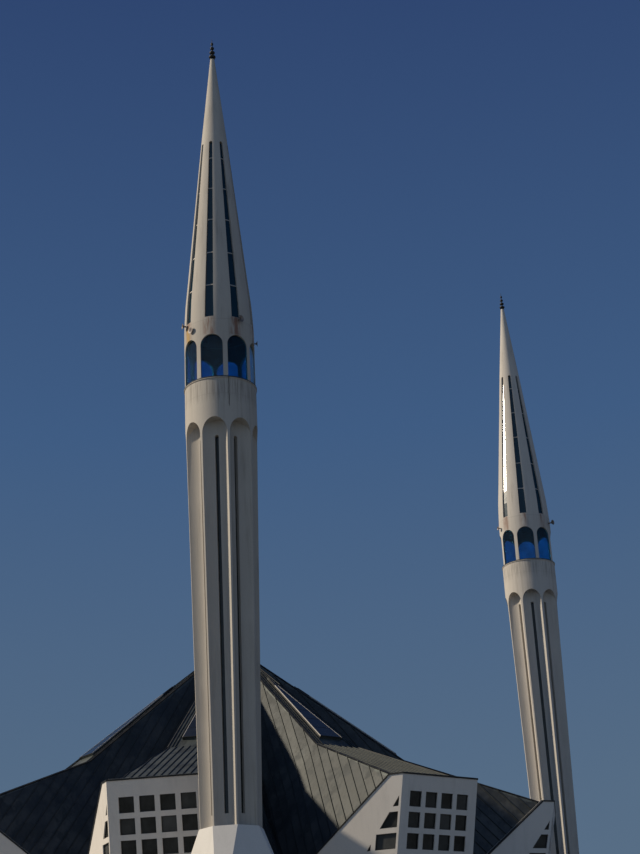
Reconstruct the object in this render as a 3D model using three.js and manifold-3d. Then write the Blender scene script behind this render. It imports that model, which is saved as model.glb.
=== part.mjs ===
// Mosque with an eight-bay tent roof and two fluted minarets, as a scale model at 1:2.
// Units are millimetres of the model, +Z is up, the hall stands on the origin, and -Y is the
// front, where the valley between the two minarets lies.
import * as THREE from 'three';
import { ConvexGeometry } from 'three/addons/geometries/ConvexGeometry.js';
import { mergeVertices } from 'three/addons/utils/BufferGeometryUtils.js';
import Module from 'manifold-3d';

const wasm = await Module();
wasm.setup();

// model millimetres for one metre of the real building
const M = 500;
// clearance between pieces that touch on the real building
const GAP = 0.3;

// hall plan: eight bays, each half a bay angle either side of its own axis
const BAYS = 8;
const HALF_BAY = Math.PI / BAYS;
const FRONT_R = 19.88 * M;
const FRONT_HALF = 2.6 * M;
const WALL_TOP = 16.06 * M;
const WALL_T = 0.4 * M;
// how far the front walls lean out for each unit of height
const LEAN = 0.226;
// plan angle of the side walls from the bay's axis
const SPLAY = THREE.MathUtils.degToRad(31.8);
// flat stretch of a side wall's top before it slopes down to the valley
const SHOULDER = 0.77 * M;
const VALLEY_E = 5.89 * M;
const VALLEY_DROP = 4.91 * M;
// the side walls are drawn on past the valley, and the wedge of their bay trims them
const PAST_VALLEY = 2 * M;
const WEDGE_R = 30 * M;

// square windows of the fronts
const PITCH = 1.078 * M;
const OPEN = 0.803 * M;
const FIRST_ROW = 0.894 * M;
const COLUMNS = 4;
const ROWS = 7;
// windows of the side walls: columns counted back from the corner post
const POST = 0.12 * M;
const SIDE_OPEN = 1.13 * M;
const SIDE_PITCH = 1.38 * M;
const SIDE_COLUMNS = 3;
// the solid band ends on a slope that starts this far down the corner
const BAND_START = 1.12 * M;
const BAND_SLOPE = 0.603;
// how far the glass runs on behind the wall beyond the outermost windows
const GLASS_LAP = 0.15 * M;

// tent roof
const APEX_Z = 27.92 * M;
const KINK_U = 11.02 * M;
const KINK_HALF = 1.51 * M;
const KINK_Z = 19.27 * M;
const KINK_VALLEY_R = 10 * M;
const PARAPET = 0.36 * M;
const PARAPET_T = 0.15 * M;
const ROOF_DROP = 0.45 * M;
// reaches of the solids that only cut others: over the roof, and outside the walls
const OVER_ROOF = 10 * M;
const OUTSIDE = 40 * M;

// skylight on the upper part of each strip
const SKY_TOP_U = 4.1 * M;
const SKY_END_U = 10.35 * M;
const SKY_HALF = 0.78 * M;
const CURB_H = 0.15 * M;
const CURB_T = 0.12 * M;
const PANE_T = 0.05 * M;

// doorways in the two bays either side of the front
const DOOR_HALF = 1.3 * M;
const DOOR_H = 3 * M;
// the door cutter runs from this far inside the front to as far outside it
const DOOR_CUT = 4 * M;
const FLOOR_T = 0.15 * M;

// minarets
const MINARET_R = 23.88 * M;
const MINARET_ANGLE = THREE.MathUtils.degToRad(56.5);
const BASE_CORNER_R = 3.6 * M;
const BASE_TOP = 7.3 * M;
const PEDESTAL_TOP = 12.65 * M;
const PEDESTAL_TOP_R = 1.56 * M;
const SHAFT_R0 = 1.5 * M;
const DRUM_R = 1.89 * M;
const DRUM_TOP = 35.36 * M;
const FLUTE_TOP = 33.2 * M;
const RIB_W = 0.14 * M;
// depth of a flute as a share of the rib's radius, and rise of its round head as a share of its width
const FLUTE_DEPTH = 0.32;
const FLUTE_HEAD = 0.62;
// the groove cutters run out to this multiple of the rib's radius
const GROOVE_REACH = 1.3;
const SLIT_SILL = 0.6 * M;
const SLIT_TOP = 32.4 * M;
const SLIT_W = 0.14 * M;
const BORE_R = 0.75 * M;
const ARCH_W = 1.2 * M;
const ARCH_TOP = 37.93 * M;
const GALLERY_TOP = 38.7 * M;
const GALLERY_T = 0.15 * M;
const LEDGE = 0.05 * M;
// outer radius and height of the gallery and the spire above it, in real metres
const SPIRE_OUTLINE = [
  [1.88, 35.36],
  [1.87, 38.7],
  [1.8, 40.06],
  [1.62, 41.9],
  [0.717, 50.92],
];
const SPIRE_TIP = 56.5 * M;
const SPIRE_TIP_R = 0.12 * M;
const SPIRE_SHELL = 0.2 * M;
const SLOT_BOTTOM = 38.97 * M;
const SLOT_TOP = 50.5 * M;
const SLOT_W0 = 0.44 * M;
const SLOT_W1 = 0.2 * M;
// the slot cutters start this far from the axis
const SLOT_START = 0.3 * M;
const FINIAL_H = 1.5 * M;
const FINIAL_R = 0.2 * M;
const ROOF_FINIAL_H = 2.6 * M;
const ROOF_FINIAL_R = 0.35 * M;
const FINIAL_FACES = 8;
// beads strung on a tapering rod, each smaller than the last: sizes as shares of its height,
// radii of the rod and foot as shares of a bead's, and the height of a bead's rim as a share of its own
const BEADS = 4;
const BEAD_PITCH = 0.2;
const BEAD_SIZE = 0.075;
const BEAD_RIM = 0.6;
const FIRST_BEAD = 0.04;
const ROD_SHARE = 0.3;
const FOOT_SHARE = 0.7;
// faces of the turned tower pieces, and of the glass behind them
const TOWER_FACES = 32;
const GLASS_FACES = 16;

// loudspeakers: turn in tower faces, height, length
const HORNS = {
  minaret_left: [
    [-5, 38.9, 0.32],
    [-3, 38.5, 0.32],
    [4, 38.84, 0.36],
    [9, 38.15, 0.22],
  ],
  minaret_right: [
    [14, 38.3, 0.32],
    [-6, 37.9, 0.32],
  ],
};
// radius and distance along a loudspeaker as shares of its length, from its arm to its mouth
const HORN_PROFILE = [
  [0, 0],
  [0.12, 0],
  [0.12, 0.35],
  [0.2, 0.6],
  [0.46, 0.92],
  [0.46, 1],
  [0, 0.75],
];
const HORN_FACES = 12;

const concrete = material('cast_concrete', 0xc9bca6, 0.85, 0);
const roofMetal = material('seamed_roof_metal', 0x5d655c, 0.5, 0.6);
const windowGlass = material('window_glass', 0x1c2328, 0.1, 0);
const galleryGlass = material('gallery_glass', 0x0b2c50, 0.08, 0);
const floorStone = material('floor_stone', 0x8c877e, 0.7, 0);
const darkMetal = material('dark_metal', 0x2f2c28, 0.45, 0.8);
const hornPaint = material('horn_paint', 0x8f8a86, 0.5, 0.1);

const part = new THREE.Group();
const spireProfile = SPIRE_OUTLINE.map(([r, z]) => [r * M, z * M]);

function material(name, color, roughness, metalness) {
  return new THREE.MeshStandardMaterial({ name, color, roughness, metalness });
}

// closed solid from a three.js geometry, turned into place after its flat faces are known
function solid(geometry, matrix = new THREE.Matrix4()) {
  const copy = geometry.clone();
  copy.deleteAttribute('normal');
  copy.deleteAttribute('uv');
  const welded = mergeVertices(copy, 1e-3);
  const mesh = new wasm.Mesh({
    numProp: 3,
    vertProperties: new Float32Array(welded.attributes.position.array),
    triVerts: new Uint32Array(welded.index.array),
  });
  return new wasm.Manifold(mesh).transform(matrix.elements);
}

function geometryOf(body) {
  const mesh = body.getMesh();
  const geometry = new THREE.BufferGeometry();
  geometry.setAttribute('position', new THREE.BufferAttribute(mesh.vertProperties, 3));
  geometry.setIndex(new THREE.BufferAttribute(mesh.triVerts, 1));
  geometry.computeVertexNormals();
  return geometry;
}

function addPiece(name, geometry, finish, turn = 0, x = 0, y = 0) {
  const mesh = new THREE.Mesh(geometry, finish);
  mesh.name = name;
  mesh.rotation.z = turn;
  mesh.position.set(x, y, 0);
  part.add(mesh);
}

// matrix that carries a flat outline (x across, y up) onto a plane
function onPlane(origin, across, up) {
  const out = new THREE.Vector3().crossVectors(across, up);
  const matrix = new THREE.Matrix4().makeBasis(across, up, out);
  matrix.setPosition(origin);
  return matrix;
}

// slab behind the plane of an outline, from depth 'near' to depth 'far'
function slab(shape, matrix, near, far) {
  const geometry = new THREE.ExtrudeGeometry(shape, { depth: far - near, bevelEnabled: false });
  geometry.translate(0, 0, -far);
  return solid(geometry, matrix);
}

// outline whose points run anticlockwise, so that holes and outlines agree
function outline(points) {
  const path = points.map(([x, y]) => new THREE.Vector2(x, y));
  if (THREE.ShapeUtils.isClockWise(path)) path.reverse();
  return new THREE.Shape(path);
}

function hull(points) {
  return solid(new ConvexGeometry(points));
}

// the wedge of one bay, a hair inside the planes between bays
const wedgeTip = GAP / 2 / Math.sin(HALF_BAY);
const wedgeSpread = WEDGE_R * Math.tan(HALF_BAY);
const wedgeShape = outline([
  [wedgeTip, 0],
  [wedgeTip + WEDGE_R, -wedgeSpread],
  [wedgeTip + WEDGE_R, wedgeSpread],
]);

function wedge(bottom, top) {
  const geometry = new THREE.ExtrudeGeometry(wedgeShape, { depth: top - bottom, bevelEnabled: false });
  geometry.translate(0, 0, bottom);
  return solid(geometry);
}

// planes of the walls in the bay's own frame: x out along its axis, y across, z up
const leanLength = Math.hypot(1, LEAN);
const frontUp = new THREE.Vector3(LEAN, 0, 1).divideScalar(leanLength);
const frontAcross = new THREE.Vector3(0, 1, 0);
const frontPlane = onPlane(new THREE.Vector3(FRONT_R, 0, WALL_TOP), frontAcross, frontUp);
const sideRise = Math.hypot(1, LEAN * Math.sin(SPLAY));

function sidePlane(side) {
  const corner = new THREE.Vector3(FRONT_R, side * FRONT_HALF, WALL_TOP);
  const across = new THREE.Vector3(-side * Math.cos(SPLAY), Math.sin(SPLAY), 0);
  const up = new THREE.Vector3(
    LEAN * Math.sin(SPLAY) ** 2,
    side * LEAN * Math.sin(SPLAY) * Math.cos(SPLAY),
    1,
  ).divideScalar(sideRise);
  return onPlane(corner, across, up);
}

// a point of a side wall: back from the leaning corner edge, and down from the wall top
function sidePoint(side, back, drop) {
  return [side * (back + drop * LEAN * Math.cos(SPLAY)), -drop * sideRise];
}

// the same point in the bay's frame
function sideSpot(side, back, drop) {
  const [x, y] = sidePoint(side, back, drop);
  return new THREE.Vector3(x, y, 0).applyMatrix4(sidePlane(side));
}

// rows of windows: drop of the top and bottom edge of each row
function rowDrops(row) {
  const top = (FIRST_ROW + row * PITCH) / leanLength;
  return [top, top + OPEN / leanLength];
}

function bandEdge(drop) {
  return POST + (drop - BAND_START) * BAND_SLOPE;
}

function bandDrop(back) {
  return BAND_START + (back - POST) / BAND_SLOPE;
}

// a side window: a slanted square, cut off where the solid band runs across it
function sideWindow(side, column, row) {
  const near = POST + column * SIDE_PITCH;
  const far = near + SIDE_OPEN;
  const [top, bottom] = rowDrops(row);
  if (bandEdge(bottom) <= near) return null;
  const corners = [[near, bottom], [near, Math.max(top, bandDrop(near))]];
  if (bandEdge(top) > near) corners.push([Math.min(far, bandEdge(top)), top]);
  if (bandEdge(top) < far && bandEdge(bottom) > far) corners.push([far, bandDrop(far)]);
  corners.push([Math.min(far, bandEdge(bottom)), bottom]);
  return outline(corners.map(([back, drop]) => sidePoint(side, back, drop)));
}

function frontFace() {
  const foot = -WALL_TOP * leanLength - WALL_T;
  return outline([
    [-FRONT_HALF, 0],
    [-FRONT_HALF, foot],
    [FRONT_HALF, foot],
    [FRONT_HALF, 0],
  ]);
}

function frontWindows() {
  const windows = [];
  for (let column = 0; column < COLUMNS; column += 1) {
    for (let row = 0; row < ROWS; row += 1) {
      const left = (column - (COLUMNS - 1) / 2) * PITCH - OPEN / 2;
      const top = -FIRST_ROW - row * PITCH;
      windows.push(outline([
        [left, top],
        [left + OPEN, top],
        [left + OPEN, top - OPEN],
        [left, top - OPEN],
      ]));
    }
  }
  return windows;
}

function sideFace(side) {
  const slope = VALLEY_DROP / (VALLEY_E - SHOULDER);
  const beyond = VALLEY_E + PAST_VALLEY;
  const foot = WALL_TOP + WALL_T;
  const corners = [
    [0, 0],
    [SHOULDER, 0],
    [beyond, (beyond - SHOULDER) * slope],
    [beyond, foot],
    [0, foot],
  ];
  return outline(corners.map(([back, drop]) => sidePoint(side, back, drop)));
}

function sideWindows(side) {
  const windows = [];
  for (let column = 0; column < SIDE_COLUMNS; column += 1) {
    for (let row = 0; row < ROWS; row += 1) {
      const hole = sideWindow(side, column, row);
      if (hole) windows.push(hole);
    }
  }
  return windows;
}

// cuts openings of given outlines through the walls
function pierce(walls, shapes, plane) {
  return shapes.reduce((left, shape) => left.subtract(slab(shape, plane, -WALL_T, 2 * WALL_T)), walls);
}

// space outside the walls' faces, from a given depth behind them
function outsideOf(depth) {
  const corners = [[-OUTSIDE, -OUTSIDE], [OUTSIDE, -OUTSIDE], [OUTSIDE, OUTSIDE], [-OUTSIDE, OUTSIDE]];
  const sheet = outline(corners);
  return slab(sheet, frontPlane, -OUTSIDE, depth)
    .add(slab(sheet, sidePlane(1), -OUTSIDE, depth))
    .add(slab(sheet, sidePlane(-1), -OUTSIDE, depth));
}

// roof surface: the strip's kink and foot, and the valley's kink and foot
const apex = new THREE.Vector3(0, 0, APEX_Z);

function kink(side) {
  return new THREE.Vector3(KINK_U, side * KINK_HALF, KINK_Z);
}

function stripFoot(side) {
  return new THREE.Vector3(FRONT_R, side * FRONT_HALF, WALL_TOP - PARAPET);
}

function valleyFoot(side) {
  const spot = sideSpot(side, VALLEY_E, VALLEY_DROP);
  const reach = Math.hypot(spot.x, spot.y);
  return onValley(side, reach, WALL_TOP - VALLEY_DROP - PARAPET);
}

function onValley(side, reach, z) {
  return new THREE.Vector3(reach * Math.cos(HALF_BAY), side * reach * Math.sin(HALF_BAY), z);
}

// the valley's kink lies in the plane of the lower side slope
function valleyKink(side) {
  const slope = new THREE.Plane().setFromCoplanarPoints(kink(side), stripFoot(side), valleyFoot(side));
  const low = onValley(side, KINK_VALLEY_R, 0);
  return low.setZ(-(slope.constant + slope.normal.x * low.x + slope.normal.y * low.y) / slope.normal.z);
}

function roofFacets() {
  const facets = [
    [apex, kink(1), kink(-1)],
    [kink(1), kink(-1), stripFoot(-1), stripFoot(1)],
  ];
  for (const side of [-1, 1]) {
    facets.push([apex, kink(side), valleyKink(side)]);
    facets.push([kink(side), stripFoot(side), valleyFoot(side), valleyKink(side)]);
  }
  return facets;
}

// solid between the roof surface lowered by two amounts
function roofLayer(below, above) {
  let layer = null;
  for (const facet of roofFacets()) {
    const low = facet.map((point) => point.clone().setZ(point.z - below));
    const high = facet.map((point) => point.clone().setZ(point.z + above));
    const piece = hull([...low, ...high]);
    layer = layer ? layer.add(piece) : piece;
  }
  return layer;
}

function bayWalls(doorway) {
  const seat = roofLayer(ROOF_DROP + GAP, OVER_ROOF).subtract(outsideOf(PARAPET_T));
  let walls = slab(frontFace(), frontPlane, 0, WALL_T);
  for (const side of [-1, 1]) walls = walls.add(slab(sideFace(side), sidePlane(side), 0, WALL_T));
  walls = walls.intersect(wedge(0, WALL_TOP)).subtract(seat);
  walls = pierce(walls, frontWindows(), frontPlane);
  for (const side of [-1, 1]) walls = pierce(walls, sideWindows(side), sidePlane(side));
  if (doorway) {
    const box = new THREE.BoxGeometry(2 * DOOR_CUT, 2 * DOOR_HALF, 2 * DOOR_H);
    box.translate(FRONT_R - DOOR_CUT / 2, 0, 0);
    walls = walls.subtract(solid(box));
  }
  return walls;
}

// skylight outline on the upper strip: x along the bay's axis, y up the slope
const stripFall = (APEX_Z - KINK_Z) / KINK_U;
const stripLength = Math.hypot(1, stripFall);
const stripUp = new THREE.Vector3(-1, 0, stripFall).divideScalar(stripLength);
const stripPlane = onPlane(apex, new THREE.Vector3(0, 1, 0), stripUp);

function skylightShape(inset) {
  const top = SKY_TOP_U * stripLength;
  const end = SKY_END_U * stripLength;
  const flare = SKY_HALF / (end - top);
  const tip = top + inset * Math.hypot(1, flare) / flare;
  const foot = end - inset;
  const half = (foot - tip) * flare;
  return outline([[0, -tip], [-half, -foot], [half, -foot]]);
}

function bayRoof() {
  const shell = roofLayer(ROOF_DROP, 0).subtract(outsideOf(PARAPET_T + GAP));
  const curb = slab(skylightShape(0), stripPlane, -CURB_H, CURB_T);
  const well = slab(skylightShape(CURB_T), stripPlane, -2 * CURB_H, 2 * ROOF_DROP);
  return shell.add(curb).subtract(well).intersect(wedge(0, APEX_Z));
}

function skylightPane() {
  return slab(skylightShape(CURB_T + GAP), stripPlane, -CURB_H + PANE_T, -CURB_H + 2 * PANE_T);
}

// one bent sheet of glass behind the windows of a bay
function bayGlass() {
  const near = WALL_T + GAP;
  const far = near + PANE_T;
  const [top] = rowDrops(0);
  const [, bottom] = rowDrops(ROWS - 1);
  const front = outline([
    [-FRONT_HALF, -(top - GLASS_LAP) * leanLength],
    [-FRONT_HALF, -(bottom + GLASS_LAP) * leanLength],
    [FRONT_HALF, -(bottom + GLASS_LAP) * leanLength],
    [FRONT_HALF, -(top - GLASS_LAP) * leanLength],
  ]);
  const reach = POST + (SIDE_COLUMNS - 1) * SIDE_PITCH + SIDE_OPEN + GLASS_LAP;
  const start = top - GLASS_LAP;
  const corners = [
    [-GLASS_LAP, start],
    [POST, start],
    [reach, bandDrop(reach) - 2 * GLASS_LAP],
    [reach, bottom + GLASS_LAP],
    [-GLASS_LAP, bottom + GLASS_LAP],
  ];
  let glass = slab(front, frontPlane, near, far);
  for (const side of [-1, 1]) {
    const shape = outline(corners.map(([back, drop]) => sidePoint(side, back, drop)));
    glass = glass.add(slab(shape, sidePlane(side), near, far));
  }
  const roofAbove = roofLayer(ROOF_DROP + GAP, OVER_ROOF);
  return glass.subtract(outsideOf(near)).subtract(roofAbove);
}

// floor of the hall: the walls' inner outline at the ground
function hallFloor() {
  const inset = WALL_T + GAP;
  const frontX = FRONT_R - LEAN * WALL_TOP - inset * leanLength;
  const normal = new THREE.Vector3().setFromMatrixColumn(sidePlane(1), 2);
  const foot = sideSpot(1, 0, WALL_TOP);
  const reachOf = normal.x * foot.x + normal.y * foot.y - inset;
  const cornerY = (reachOf - normal.x * frontX) / normal.y;
  const valleyR = reachOf / (normal.x * Math.cos(HALF_BAY) + normal.y * Math.sin(HALF_BAY));
  const points = [];
  for (let bay = 0; bay < BAYS; bay += 1) {
    const turn = 2 * bay * HALF_BAY;
    for (const [x, y] of [
      [frontX, -cornerY],
      [frontX, cornerY],
      [valleyR * Math.cos(HALF_BAY), valleyR * Math.sin(HALF_BAY)],
    ]) {
      points.push([
        x * Math.cos(turn) - y * Math.sin(turn),
        x * Math.sin(turn) + y * Math.cos(turn),
      ]);
    }
  }
  return new THREE.ExtrudeGeometry(outline(points), { depth: FLOOR_T, bevelEnabled: false });
}

// turned solid from a closed profile of radius and height
function turned(profile, segments) {
  const points = profile.map(([r, z]) => new THREE.Vector2(r, z));
  const geometry = new THREE.LatheGeometry(points, segments);
  geometry.rotateX(Math.PI / 2);
  return solid(geometry);
}

// outline of a finial, from its foot on the axis to its tip
function finialProfile(bottom, height, radius) {
  const profile = [[0, bottom], [radius * FOOT_SHARE, bottom]];
  for (let bead = 0; bead < BEADS; bead += 1) {
    const wide = radius * (1 - bead / (BEADS + 1));
    const low = bottom + height * (FIRST_BEAD + BEAD_PITCH * bead);
    const size = height * BEAD_SIZE;
    profile.push([wide * ROD_SHARE, low]);
    profile.push([wide, low + size * BEAD_RIM]);
    profile.push([wide, low + size * (2 - BEAD_RIM)]);
    profile.push([wide * ROD_SHARE, low + size * 2]);
  }
  profile.push([0, bottom + height]);
  return profile;
}

function finial(bottom, height, radius) {
  return turned(finialProfile(bottom, height, radius), FINIAL_FACES);
}

function pedestal() {
  const points = [];
  for (let corner = 0; corner < 4; corner += 1) {
    const turn = corner * Math.PI / 2;
    const x = BASE_CORNER_R * Math.cos(turn);
    const y = BASE_CORNER_R * Math.sin(turn);
    points.push(new THREE.Vector3(x, y, 0), new THREE.Vector3(x, y, BASE_TOP));
  }
  for (let corner = 0; corner < BAYS; corner += 1) {
    const turn = HALF_BAY * (2 * corner + 1);
    const x = PEDESTAL_TOP_R * Math.cos(turn);
    const y = PEDESTAL_TOP_R * Math.sin(turn);
    points.push(new THREE.Vector3(x, y, PEDESTAL_TOP));
  }
  return hull(points);
}

// turns a solid by whole bay steps and cuts or joins all eight copies
function eightTimes(geometry, lift) {
  let all = null;
  for (let step = 0; step < BAYS; step += 1) {
    const matrix = new THREE.Matrix4().makeRotationZ(2 * step * HALF_BAY);
    if (lift) matrix.multiply(lift);
    const piece = solid(geometry, matrix);
    all = all ? all.add(piece) : piece;
  }
  return all;
}

// opening with a round head, standing in the plane that faces out along +X
function archedShape(width, bottom, top, head) {
  const half = width / 2;
  const shape = new THREE.Shape();
  shape.moveTo(-half, bottom);
  shape.lineTo(half, bottom);
  shape.lineTo(half, top - head);
  shape.absellipse(0, top - head, half, head, 0, Math.PI, false);
  shape.closePath();
  return shape;
}

// extrudes an outline (x across, y up) out along +X from one radius to another
function outward(shape, from, to, curveSegments = 6) {
  const geometry = new THREE.ExtrudeGeometry(shape, {
    depth: to - from,
    bevelEnabled: false,
    curveSegments,
  });
  geometry.translate(0, 0, from);
  const matrix = onPlane(new THREE.Vector3(), new THREE.Vector3(0, 1, 0), new THREE.Vector3(0, 0, 1));
  geometry.applyMatrix4(matrix);
  return geometry;
}

// fluted shaft that widens upward, with the plain drum on top
function shaft() {
  const bottom = PEDESTAL_TOP + GAP;
  const body = turned([
    [BORE_R, bottom],
    [SHAFT_R0, bottom],
    [DRUM_R, FLUTE_TOP],
    [DRUM_R, DRUM_TOP - GAP],
    [BORE_R, DRUM_TOP - GAP],
    [BORE_R, bottom],
  ], TOWER_FACES);
  return body.subtract(flutes()).subtract(slits());
}

// V-shaped flutes that follow the taper, closed above by a round head
function flutes() {
  const grooves = [];
  for (const z of [PEDESTAL_TOP - M, FLUTE_TOP + M]) {
    const rib = SHAFT_R0 + (DRUM_R - SHAFT_R0) * (z - PEDESTAL_TOP) / (FLUTE_TOP - PEDESTAL_TOP);
    const chord = 2 * rib * Math.sin(HALF_BAY) - RIB_W;
    const face = rib * Math.cos(HALF_BAY);
    const deep = rib * (1 - FLUTE_DEPTH);
    const flare = (chord / 2) / (face - deep);
    const out = rib * GROOVE_REACH;
    grooves.push(new THREE.Vector3(deep, 0, z));
    grooves.push(new THREE.Vector3(out, (out - deep) * flare, z));
    grooves.push(new THREE.Vector3(out, -(out - deep) * flare, z));
  }
  const groove = hull(grooves);
  const width = 2 * DRUM_R * Math.sin(HALF_BAY) - RIB_W;
  const arch = archedShape(width, PEDESTAL_TOP - M, FLUTE_TOP, width * FLUTE_HEAD);
  const head = solid(outward(arch, 0, 2 * DRUM_R));
  const flute = geometryOf(groove.intersect(head));
  return eightTimes(flute);
}

// slit windows in the bottoms of the flutes
function slits() {
  const shape = archedShape(SLIT_W, PEDESTAL_TOP + SLIT_SILL, SLIT_TOP, SLIT_W / 2);
  return eightTimes(outward(shape, BORE_R / 2, 2 * DRUM_R, 2));
}

// the arcade of eight round arches
function gallery() {
  const bottom = DRUM_TOP;
  const top = GALLERY_TOP - GAP;
  const outer = spireProfile[0][0];
  const body = turned([
    [outer - GALLERY_T, bottom],
    [outer + LEDGE, bottom],
    [outer + LEDGE, bottom + LEDGE],
    [outer, bottom + LEDGE],
    [spireProfile[1][0], top],
    [outer - GALLERY_T, top],
    [outer - GALLERY_T, bottom],
  ], TOWER_FACES);
  const arch = archedShape(ARCH_W, bottom + LEDGE, ARCH_TOP, ARCH_W / 2);
  return body.subtract(eightTimes(outward(arch, DRUM_R / 2, 2 * DRUM_R, 4)));
}

function galleryGlassTube() {
  const outer = spireProfile[0][0] - GALLERY_T - GAP;
  return turned([
    [outer - PANE_T, DRUM_TOP],
    [outer, DRUM_TOP],
    [outer, GALLERY_TOP - GAP],
    [outer - PANE_T, GALLERY_TOP - GAP],
    [outer - PANE_T, DRUM_TOP],
  ], GLASS_FACES);
}

// the spire is a shell as far as the slots go, and solid to the tip
function spire() {
  const outer = spireProfile.slice(1);
  const inner = outer.map(([r, z]) => [r - SPIRE_SHELL, z]).reverse();
  const body = turned([
    ...outer,
    [SPIRE_TIP_R, SPIRE_TIP - GAP],
    [0, SPIRE_TIP - GAP],
    [0, inner[0][1]],
    ...inner,
    outer[0],
  ], TOWER_FACES);
  const shape = new THREE.Shape();
  const cap = SLOT_TOP - SLOT_W1 / 2;
  shape.moveTo(-SLOT_W0 / 2, SLOT_BOTTOM);
  shape.lineTo(SLOT_W0 / 2, SLOT_BOTTOM);
  shape.lineTo(SLOT_W1 / 2, cap);
  shape.absarc(0, cap, SLOT_W1 / 2, 0, Math.PI, false);
  shape.closePath();
  return body.subtract(eightTimes(outward(shape, SLOT_START, 2 * DRUM_R, 3)));
}

// glass behind the slots
function spireGlass() {
  const outer = spireProfile.slice(1).map(([r, z]) => [r - SPIRE_SHELL - GAP, z]);
  const inner = outer.map(([r, z]) => [r - PANE_T, z]).reverse();
  const top = outer.at(-1)[1] - GAP;
  outer.at(-1)[1] = top;
  inner[0][1] = top;
  return turned([...outer, ...inner, outer[0]], GLASS_FACES);
}

// radius of the gallery or spire at a height
function towerRadius(z) {
  const above = spireProfile.findIndex(([, height]) => height > z);
  const [lowR, lowZ] = spireProfile[above - 1];
  const [highR, highZ] = spireProfile[above];
  return lowR + (highR - lowR) * (z - lowZ) / (highZ - lowZ);
}

// horn loudspeaker on a short arm, seated on the tower's face and pointing straight out;
// a turn that is a whole number of face steps keeps the arm on an edge between two faces
function horn(faceSteps, z, length) {
  const profile = HORN_PROFILE.map(([r, along]) => new THREE.Vector2(r * length, along * length));
  const armR = profile[1].x;
  const bell = new THREE.LatheGeometry(profile, HORN_FACES);
  bell.rotateZ(-Math.PI / 2);
  bell.translate(towerRadius(z - armR) + GAP, 0, z);
  bell.rotateZ(faceSteps * 2 * Math.PI / TOWER_FACES);
  return geometryOf(solid(bell));
}

const plainWalls = geometryOf(bayWalls(false));
const doorWalls = geometryOf(bayWalls(true));
const roofShell = geometryOf(bayRoof());
const pane = geometryOf(skylightPane());
const glassSheet = geometryOf(bayGlass());

for (let bay = 0; bay < BAYS; bay += 1) {
  // bay 1 lies left of the front valley, and the count goes round to bay 8 on its right
  const bearing = -HALF_BAY - 2 * bay * HALF_BAY;
  const turn = bearing - Math.PI / 2;
  const walls = bay === 0 || bay === BAYS - 1 ? doorWalls : plainWalls;
  addPiece(`bay_walls_${bay + 1}`, walls, concrete, turn);
  addPiece(`bay_roof_${bay + 1}`, roofShell, roofMetal, turn);
  addPiece(`skylight_pane_${bay + 1}`, pane, windowGlass, turn);
  addPiece(`bay_glass_${bay + 1}`, glassSheet, windowGlass, turn);
}
addPiece('hall_floor', hallFloor(), floorStone, HALF_BAY);
addPiece('roof_finial', geometryOf(finial(APEX_Z + GAP, ROOF_FINIAL_H, ROOF_FINIAL_R)), darkMetal);

const pedestalBody = geometryOf(pedestal());
const shaftBody = geometryOf(shaft());
const galleryBody = geometryOf(gallery());
const galleryTube = geometryOf(galleryGlassTube());
const spireBody = geometryOf(spire());
const spireTube = geometryOf(spireGlass());
const finialBody = geometryOf(finial(SPIRE_TIP, FINIAL_H, FINIAL_R));

for (const [name, side] of [['minaret_left', -1], ['minaret_right', 1]]) {
  const bearing = side * MINARET_ANGLE;
  const x = MINARET_R * Math.sin(bearing);
  const y = -MINARET_R * Math.cos(bearing);
  const turn = side * 3 * HALF_BAY - Math.PI / 2;
  addPiece(`${name}_pedestal`, pedestalBody, concrete, turn, x, y);
  addPiece(`${name}_shaft`, shaftBody, concrete, turn, x, y);
  addPiece(`${name}_gallery`, galleryBody, concrete, turn, x, y);
  addPiece(`${name}_gallery_glass`, galleryTube, galleryGlass, turn, x, y);
  addPiece(`${name}_spire`, spireBody, concrete, turn, x, y);
  addPiece(`${name}_spire_glass`, spireTube, galleryGlass, turn, x, y);
  addPiece(`${name}_finial`, finialBody, darkMetal, turn, x, y);
  HORNS[name].forEach(([steps, z, length], index) => {
    const bell = horn(steps, z * M, length * M);
    addPiece(`${name}_loudspeaker_${index + 1}`, bell, hornPaint, turn, x, y);
  });
}

export default part;
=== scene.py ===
# %% [markdown]
# # A mosque with a folded roof and two minarets
# The solids of this building are already made, at half the real size. This lesson adds what
# the eye looks for: seams, flashings, window frames, glazing bars, stains and worn paint.

from math import ceil, cos, floor, hypot, pi, radians, sin, tan

import bmesh
import bpy
from mathutils import Matrix, Vector


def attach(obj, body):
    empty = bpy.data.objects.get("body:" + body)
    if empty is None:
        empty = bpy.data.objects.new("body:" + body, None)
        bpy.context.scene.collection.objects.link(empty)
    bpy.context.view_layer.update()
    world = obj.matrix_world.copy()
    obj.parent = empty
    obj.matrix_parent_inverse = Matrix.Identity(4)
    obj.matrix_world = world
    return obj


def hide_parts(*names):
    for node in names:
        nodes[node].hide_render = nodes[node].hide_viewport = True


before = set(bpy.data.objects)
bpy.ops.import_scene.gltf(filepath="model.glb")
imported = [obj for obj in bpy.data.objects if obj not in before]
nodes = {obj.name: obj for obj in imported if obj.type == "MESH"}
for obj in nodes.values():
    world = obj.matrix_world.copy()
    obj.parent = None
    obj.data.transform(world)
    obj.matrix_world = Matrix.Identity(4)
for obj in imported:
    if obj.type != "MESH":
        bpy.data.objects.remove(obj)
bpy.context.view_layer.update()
print("nodes loaded:", len(nodes))

# %% [markdown]
# ## The camera
# The camera stands at eye height, well away from the hall. It is tipped up by more than twenty
# degrees and leans a little, so its axes are built from those angles.

# %% Camera
CAMERA_SPOT = Vector((-41.64, -27.88, 0.80))
AHEAD, TIPPED_UP, LEANING = radians(30.015), radians(22.45), radians(2.91)


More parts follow.
